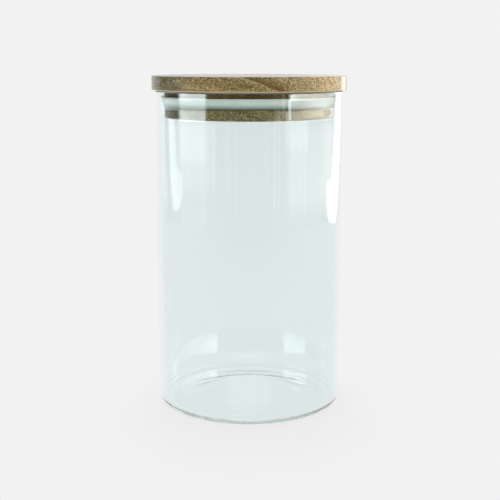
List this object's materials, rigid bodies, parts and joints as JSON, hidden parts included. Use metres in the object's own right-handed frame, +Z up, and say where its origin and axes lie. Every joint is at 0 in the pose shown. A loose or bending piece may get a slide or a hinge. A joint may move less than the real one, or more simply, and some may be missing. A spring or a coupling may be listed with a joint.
{
  "type": "storage jar",
  "caption": "Straight-walled clear glass storage jar with a flat wooden plug lid and a silicone lip seal.",
  "frame": {"origin": "middle of the standing ring, on the surface that the jar stands on", "axes": "+Z up along the axis of the jar, +Y from the front of the lid to its back, along the grain of the wood"},
  "size_m": [0.104, 0.104, 0.1783],
  "materials": {
    "clear_glass": "polished clear glass with a faint green tint",
    "silicone": "satin translucent silicone",
    "acacia": "fine-sanded acacia with a satin finish"
  },
  "bodies": {
    "jar": {"glass_jar": "clear_glass"},
    "seal": {"seal_ring": "silicone"},
    "lid": {"lid_stave_left": "acacia", "lid_stave_middle": "acacia", "lid_stave_right": "acacia"}
  },
  "joints": [
    {"name": "lid_lift", "type": "slide", "parent": "jar", "child": "seal", "axis": [0, 0, 1], "range_m": [0, 0.06]},
    {"name": "lid_turn", "type": "hinge", "parent": "seal", "child": "lid", "pos_m": [0, 0, 0.1783], "axis": [0, 0, 1], "continuous": true}
  ]
}
